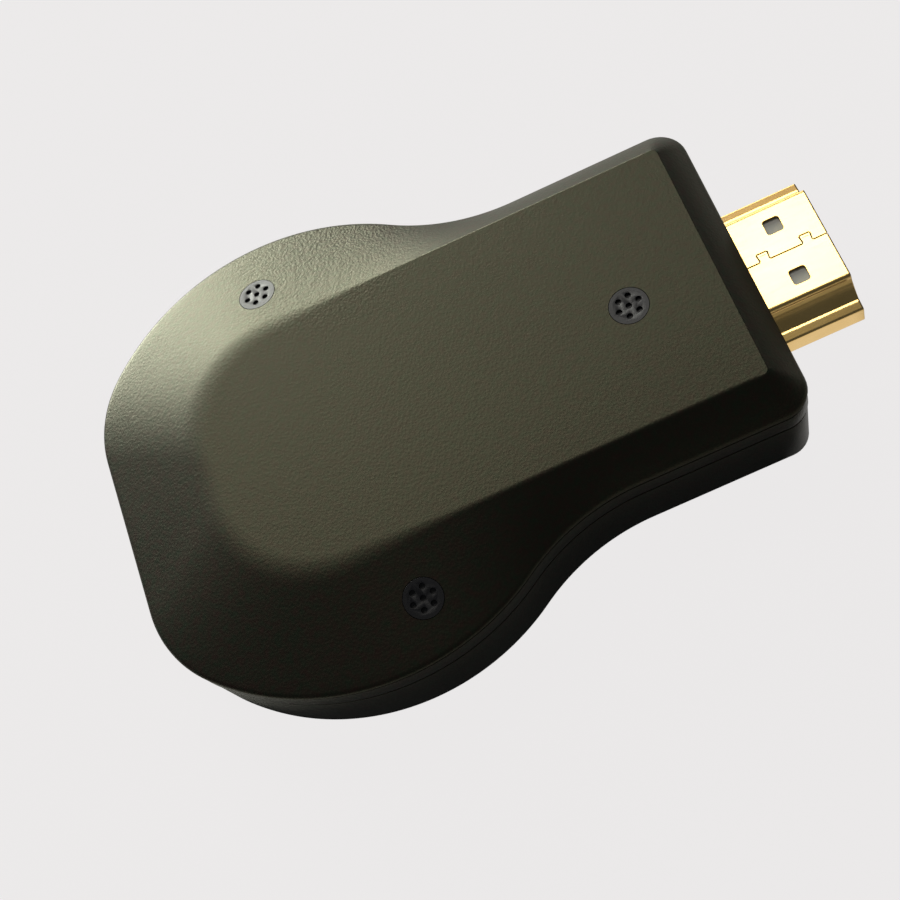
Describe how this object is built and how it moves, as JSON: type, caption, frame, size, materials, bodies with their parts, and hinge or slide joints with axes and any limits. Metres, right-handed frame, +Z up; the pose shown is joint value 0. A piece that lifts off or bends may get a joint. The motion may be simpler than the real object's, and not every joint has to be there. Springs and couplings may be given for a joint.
{
  "type": "wireless display dongle",
  "caption": "Keyhole-shaped plastic dongle with a video plug at its nose, a power socket and mode button at its flat end, and perforated vent discs in its top cover.",
  "frame": {"origin": "under the middle of the whole object, plug included, on the surface that it lies on", "axes": "+X towards the video plug, +Z up through the top cover"},
  "size_m": [0.0654, 0.0442, 0.0119],
  "materials": {
    "case_cover": "fine spark-eroded grain, olive black",
    "vent_plastic": "satin grey moulding",
    "plug_plating": "gold plating on folded sheet",
    "plug_plastic": "glass-filled moulding",
    "contact_plating": "gold flash",
    "socket_steel": "tinned",
    "socket_plastic": "moulded",
    "board_laminate": "solder mask",
    "chip_resin": "moulded resin",
    "shield_tin": "tinned sheet",
    "screw_steel": "zinc plated",
    "spreader_aluminium": "stamped sheet",
    "pad_silicone": "soft filled silicone",
    "ceramic": "fired ceramic",
    "ferrite": "ferrite",
    "button_plastic": "moulded, satin",
    "clear_plastic": "clear moulding"
  },
  "bodies": {
    "casing": {"top_cover": "case_cover", "bottom_cover": "case_cover", "vent_disc_far": "vent_plastic", "vent_disc_nose": "vent_plastic", "vent_disc_near": "vent_plastic", "circuit_board": "board_laminate", "board_screw_1": "screw_steel", "board_screw_2": "screw_steel", "video_plug_shell": "plug_plating", "video_plug_core": "plug_plastic", "upper_contacts": "contact_plating", "lower_contacts": "contact_plating", "power_socket_shell": "socket_steel", "power_socket_tongue": "socket_plastic", "power_socket_contacts": "contact_plating", "switch_housing": "socket_plastic", "status_light_guide": "clear_plastic", "status_lamp": "clear_plastic", "processor": "chip_resin", "memory_chip_1": "chip_resin", "memory_chip_2": "chip_resin", "flash_chip": "chip_resin", "radio_module_board": "board_laminate", "radio_shield_can": "shield_tin", "antenna": "ceramic", "crystal": "shield_tin", "voltage_regulator": "chip_resin", "thermal_pad": "pad_silicone", "power_inductor_1": "ferrite", "power_inductor_2": "ferrite", "capacitors": "ceramic", "resistors": "chip_resin", "heat_spreader": "spreader_aluminium"},
    "button": {"mode_button": "button_plastic", "switch_plunger": "button_plastic"}
  },
  "joints": [
    {"name": "button_press", "type": "slide", "parent": "casing", "child": "button", "axis": [1, 0, 0], "range_m": [0, 0.00025], "stiffness_N_per_m": 500}
  ]
}
